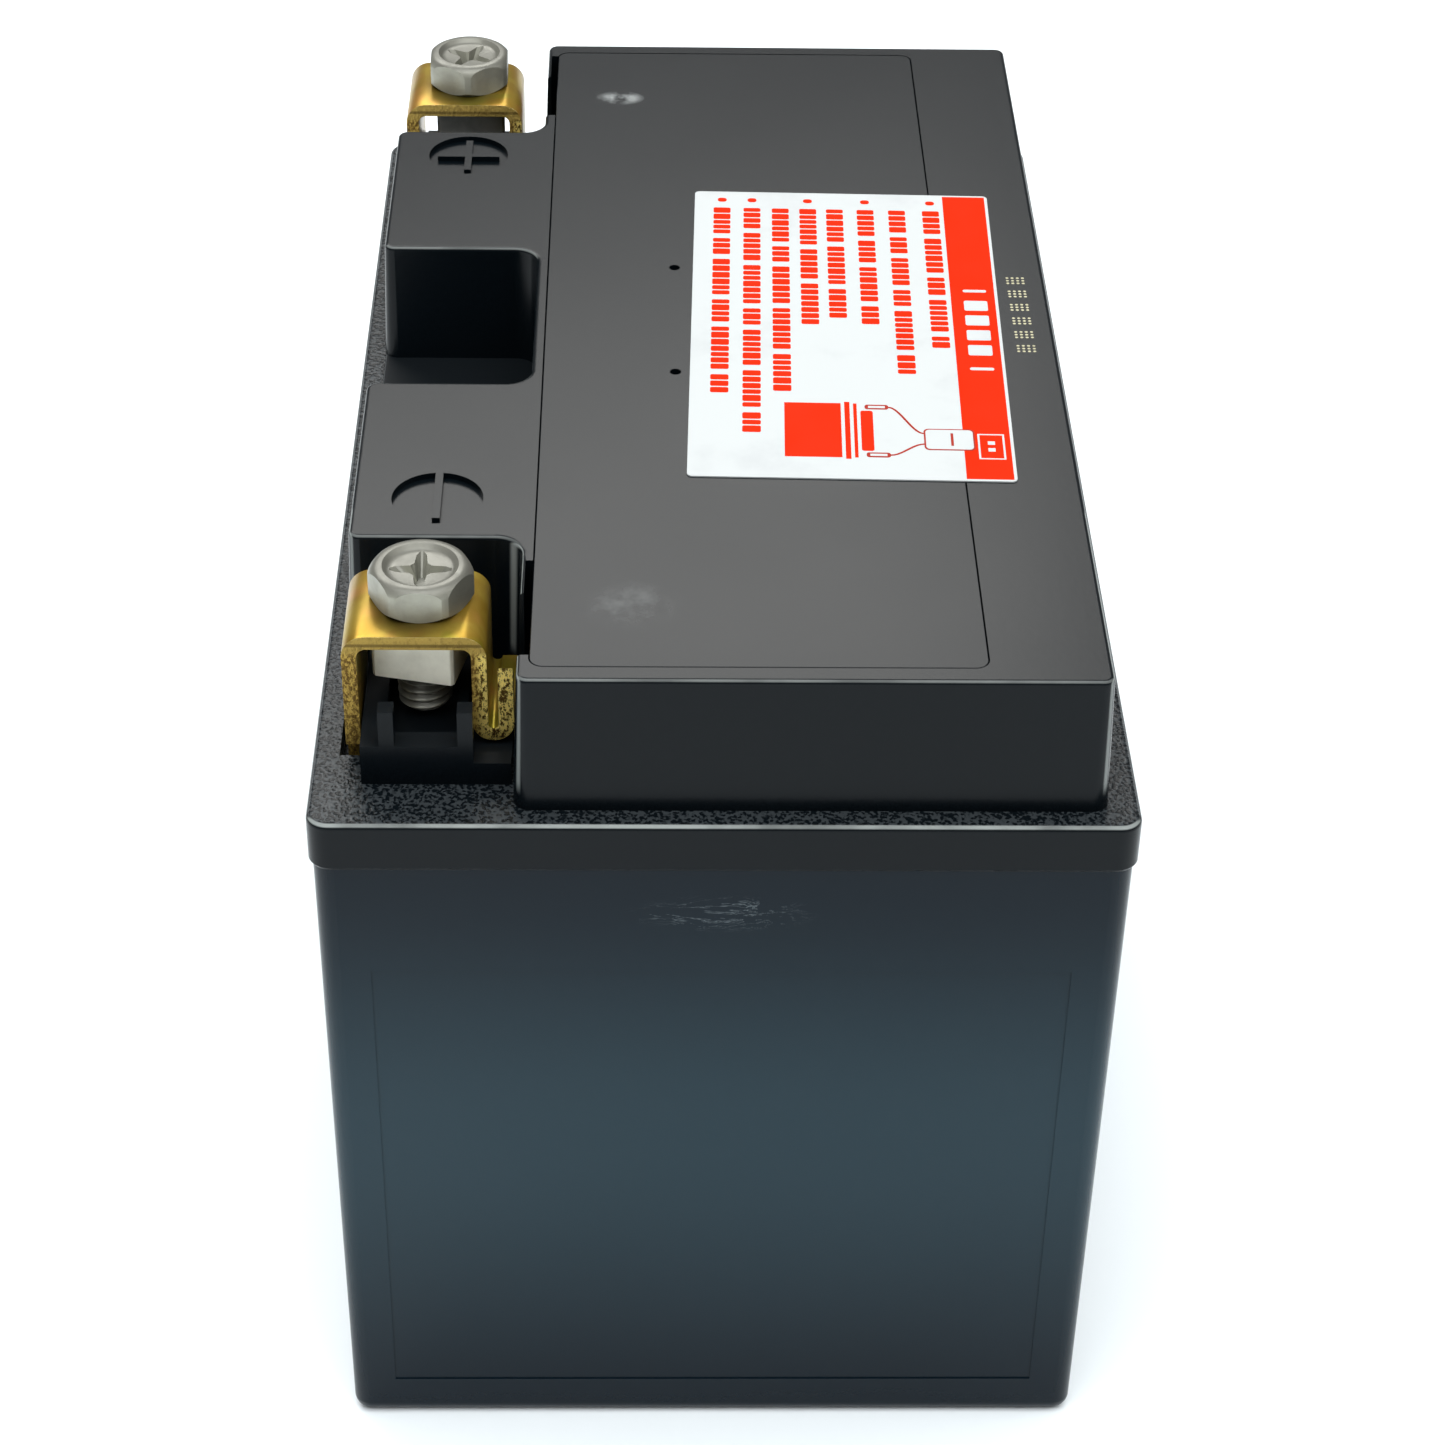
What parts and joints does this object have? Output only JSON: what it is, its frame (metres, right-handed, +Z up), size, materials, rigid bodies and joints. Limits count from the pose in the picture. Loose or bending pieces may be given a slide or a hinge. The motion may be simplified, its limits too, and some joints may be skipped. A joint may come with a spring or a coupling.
{
  "type": "motorcycle battery",
  "caption": "Sealed lead-acid motorcycle battery: black box with a flush valve cover, a caution label and two bolted strap terminals in corner recesses.",
  "frame": {"origin": "centre of the base, on the surface the battery stands on", "axes": "+X along the length towards the negative terminal's end, +Y across the width away from the terminals, +Z up"},
  "size_m": [0.15, 0.087, 0.1103],
  "materials": {
    "black_polypropylene": "satin moulded black, leather grain on the ledge",
    "printed_film": "gloss-laminated white film with a red band",
    "yellow_passivated_steel": "yellow zinc passivation, slightly iridescent",
    "zinc_plated_bolt": "bright zinc, soft satin",
    "zinc_plated_nut": "dull zinc",
    "epdm_rubber": "matt moulded rubber",
    "glass_mat": "absorbent glass mat",
    "lead_dioxide_paste": "pasted grid, dark brown",
    "sponge_lead": "pasted grid, grey",
    "cast_lead": "cast lead, dull",
    "sealing_resin": "poured black epoxy",
    "porous_disc": "sintered flame arrestor"
  },
  "bodies": {
    "battery": {"caution_label": "printed_film", "container": "black_polypropylene", "cover": "black_polypropylene", "intercell_welds": "cast_lead", "negative_plates_1": "sponge_lead", "negative_plates_2": "sponge_lead", "negative_plates_3": "sponge_lead", "negative_plates_4": "sponge_lead", "negative_plates_5": "sponge_lead", "negative_plates_6": "sponge_lead", "negative_post": "cast_lead", "negative_post_seal": "sealing_resin", "negative_strap_1": "cast_lead", "negative_strap_2": "cast_lead", "negative_strap_3": "cast_lead", "negative_strap_4": "cast_lead", "negative_strap_5": "cast_lead", "negative_strap_6": "cast_lead", "negative_terminal": "yellow_passivated_steel", "positive_plates_1": "lead_dioxide_paste", "positive_plates_2": "lead_dioxide_paste", "positive_plates_3": "lead_dioxide_paste", "positive_plates_4": "lead_dioxide_paste", "positive_plates_5": "lead_dioxide_paste", "positive_plates_6": "lead_dioxide_paste", "positive_post": "cast_lead", "positive_post_seal": "sealing_resin", "positive_strap_1": "cast_lead", "positive_strap_2": "cast_lead", "positive_strap_3": "cast_lead", "positive_strap_4": "cast_lead", "positive_strap_5": "cast_lead", "positive_strap_6": "cast_lead", "positive_terminal": "yellow_passivated_steel", "separators_1": "glass_mat", "separators_2": "glass_mat", "separators_3": "glass_mat", "separators_4": "glass_mat", "separators_5": "glass_mat", "separators_6": "glass_mat", "valve_cover": "black_polypropylene", "vent_filters": "porous_disc"},
    "positive_bolt": {"positive_bolt": "zinc_plated_bolt"},
    "positive_nut": {"positive_nut": "zinc_plated_nut"},
    "negative_bolt": {"negative_bolt": "zinc_plated_bolt"},
    "negative_nut": {"negative_nut": "zinc_plated_nut"},
    "valve_cap_1": {"valve_cap_1": "epdm_rubber"},
    "valve_cap_2": {"valve_cap_2": "epdm_rubber"},
    "valve_cap_3": {"valve_cap_3": "epdm_rubber"},
    "valve_cap_4": {"valve_cap_4": "epdm_rubber"},
    "valve_cap_5": {"valve_cap_5": "epdm_rubber"},
    "valve_cap_6": {"valve_cap_6": "epdm_rubber"}
  },
  "joints": [
    {"name": "positive_bolt_turn", "type": "hinge", "parent": "battery", "child": "positive_bolt", "pos_m": [-0.0628, -0.0318, 0.1063], "axis": [0, 0, 1], "range_deg": [0, 992]},
    {"name": "positive_nut_travel", "type": "slide", "parent": "battery", "child": "positive_nut", "axis": [0, 0, -1], "range_m": [0, 0.00275]},
    {"name": "negative_bolt_turn", "type": "hinge", "parent": "battery", "child": "negative_bolt", "pos_m": [0.056, -0.0318, 0.1063], "axis": [0, 0, 1], "range_deg": [0, 992]},
    {"name": "negative_nut_travel", "type": "slide", "parent": "battery", "child": "negative_nut", "axis": [0, 0, -1], "range_m": [0, 0.00275]},
    {"name": "valve_cap_1_lift", "type": "slide", "parent": "battery", "child": "valve_cap_1", "axis": [0, 0, 1], "range_m": [0, 0.0004], "stiffness_N_per_m": 2500, "springref_m": -0.0004},
    {"name": "valve_cap_2_lift", "type": "slide", "parent": "battery", "child": "valve_cap_2", "axis": [0, 0, 1], "range_m": [0, 0.0004], "stiffness_N_per_m": 2500, "springref_m": -0.0004},
    {"name": "valve_cap_3_lift", "type": "slide", "parent": "battery", "child": "valve_cap_3", "axis": [0, 0, 1], "range_m": [0, 0.0004], "stiffness_N_per_m": 2500, "springref_m": -0.0004},
    {"name": "valve_cap_4_lift", "type": "slide", "parent": "battery", "child": "valve_cap_4", "axis": [0, 0, 1], "range_m": [0, 0.0004], "stiffness_N_per_m": 2500, "springref_m": -0.0004},
    {"name": "valve_cap_5_lift", "type": "slide", "parent": "battery", "child": "valve_cap_5", "axis": [0, 0, 1], "range_m": [0, 0.0004], "stiffness_N_per_m": 2500, "springref_m": -0.0004},
    {"name": "valve_cap_6_lift", "type": "slide", "parent": "battery", "child": "valve_cap_6", "axis": [0, 0, 1], "range_m": [0, 0.0004], "stiffness_N_per_m": 2500, "springref_m": -0.0004}
  ],
  "couplings": [
    {"joint": "positive_bolt_turn", "follows": "positive_nut_travel", "rad_per_m": 6283.2},
    {"joint": "negative_bolt_turn", "follows": "negative_nut_travel", "rad_per_m": 6283.2}
  ]
}
